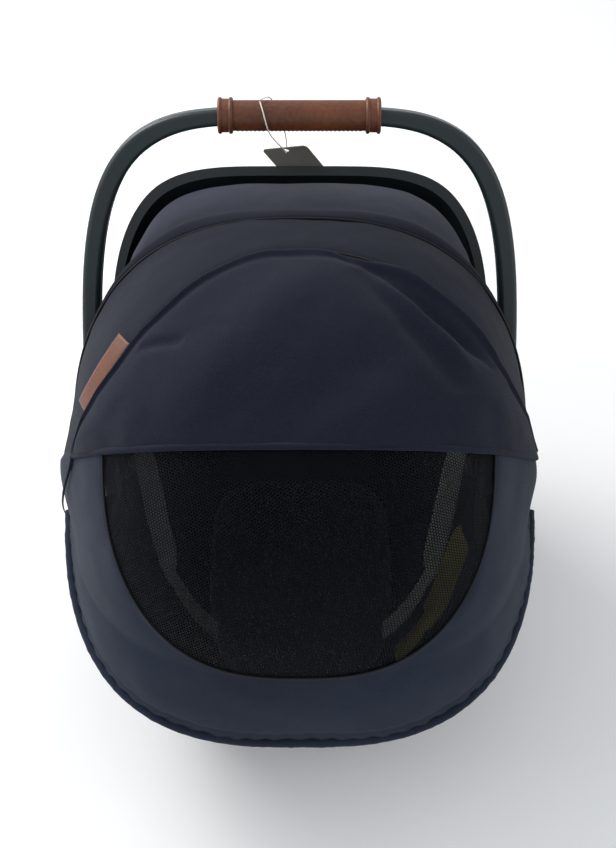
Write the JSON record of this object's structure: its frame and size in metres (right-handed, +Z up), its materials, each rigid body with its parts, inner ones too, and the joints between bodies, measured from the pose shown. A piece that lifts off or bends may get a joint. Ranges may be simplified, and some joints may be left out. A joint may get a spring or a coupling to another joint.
{
  "type": "pet stroller carrier pod",
  "caption": "Lift-off pet carrier pod of a stroller: moulded shell, folding hood with mesh front and roll-back flap, swing carry handle.",
  "frame": {"origin": "flat underside, straight below the hub axis", "axes": "+Z up, -Y to the front lip, +X to the right side seen from the front"},
  "size_m": [0.4568, 0.5494, 0.543],
  "materials": {
    "shell_plastic": "fine moulded texture, matte",
    "trim_plastic": "smooth satin",
    "handle_plastic": "fine moulded texture, satin",
    "black_plastic": "matte",
    "grip_leather": "cognac leather look, stitched",
    "tab_leather": "brown leather look",
    "hood_fabric": "woven blue-grey canvas",
    "flap_fabric": "woven blue-grey canvas, darker",
    "border_fabric": "smooth blue-grey cloth",
    "binding_fabric": "bound elastic edge",
    "mesh_fabric": "fine black-navy net",
    "liner_fabric": "dark lining",
    "cushion_fabric": "soft grey plush",
    "webbing_grey": "flat webbing",
    "webbing_olive": "flat webbing",
    "steel": "zinc plated",
    "rubber_pad": "matte",
    "card": "matte card",
    "string": "thin twisted string"
  },
  "bodies": {
    "shell": {"shell_tub": "shell_plastic", "rim_trim_front": "trim_plastic", "rim_trim_rear": "trim_plastic", "liner": "liner_fabric", "base_plate": "black_plastic", "foot_pads": "rubber_pad", "base_screws": "steel", "floor_cushion": "cushion_fabric", "hub_housing_right": "black_plastic", "hub_housing_left": "black_plastic", "pivot_axle_right": "steel", "pivot_axle_left": "steel", "adapter_socket_right": "black_plastic", "adapter_socket_left": "black_plastic", "side_strap_right": "webbing_grey", "side_strap_left": "webbing_grey", "tether_strap": "webbing_olive"},
    "handle": {"handle_bar": "handle_plastic", "grip_sleeve": "grip_leather", "grip_collar_right": "grip_leather", "grip_collar_left": "grip_leather", "hub_cap_right": "handle_plastic", "hub_cap_left": "handle_plastic", "button_spring_right": "steel", "button_spring_left": "steel"},
    "button_right": {"release_button_right": "black_plastic"},
    "button_left": {"release_button_left": "black_plastic"},
    "tag": {"swing_tag": "card", "tag_string": "string"},
    "hood_rear": {"hood_bow_rear": "black_plastic", "hood_rear_panel": "hood_fabric", "bow_channel": "hood_fabric"},
    "hood_front": {"hood_bow_front": "black_plastic", "hood_main_panel": "hood_fabric", "leather_tab": "tab_leather"},
    "flap": {"window_flap": "flap_fabric", "flap_stay": "flap_fabric"},
    "hood_hem": {"mesh_window": "mesh_fabric", "border_panel": "border_fabric", "hem_binding": "binding_fabric"}
  },
  "joints": [
    {"name": "handle_swing", "type": "hinge", "parent": "shell", "child": "handle", "pos_m": [0, 0, 0.225], "axis": [1, 0, 0], "range_deg": [-60, 0]},
    {"name": "button_right_press", "type": "slide", "parent": "handle", "child": "button_right", "axis": [-1, 0, 0], "range_m": [0, 0.003], "stiffness_N_per_m": 600, "springref_m": -0.002, "deforming": ["button_spring_right"]},
    {"name": "button_left_press", "type": "slide", "parent": "handle", "child": "button_left", "axis": [1, 0, 0], "range_m": [0, 0.003], "stiffness_N_per_m": 600, "springref_m": -0.002, "deforming": ["button_spring_left"]},
    {"name": "tag_swing", "type": "hinge", "parent": "handle", "child": "tag", "pos_m": [0, 0.173, 0.52465], "axis": [1, 0, 0], "range_deg": [0, 60]},
    {"name": "hood_fold", "type": "hinge", "parent": "shell", "child": "hood_rear", "pos_m": [0, 0, 0.225], "axis": [1, 0, 0], "range_deg": [-24, 0], "deforming": ["hood_rear_panel", "bow_channel"]},
    {"name": "front_bow_fold", "type": "hinge", "parent": "hood_rear", "child": "hood_front", "pos_m": [0, 0, 0.225], "axis": [1, 0, 0], "range_deg": [-7.2, 0], "deforming": ["hood_main_panel"]},
    {"name": "flap_roll", "type": "hinge", "parent": "hood_front", "child": "flap", "pos_m": [0, 0, 0.225], "axis": [1, 0, 0], "range_deg": [-40, 0], "deforming": ["window_flap"]},
    {"name": "front_open", "type": "hinge", "parent": "hood_front", "child": "hood_hem", "pos_m": [0, 0, 0.225], "axis": [1, 0, 0], "range_deg": [-80, 0], "deforming": ["mesh_window", "border_panel"]}
  ],
  "couplings": [
    {"joint": "front_bow_fold", "follows": "hood_fold", "ratio": 0.3},
    {"joint": "tag_swing", "follows": "handle_swing", "ratio": -1}
  ]
}
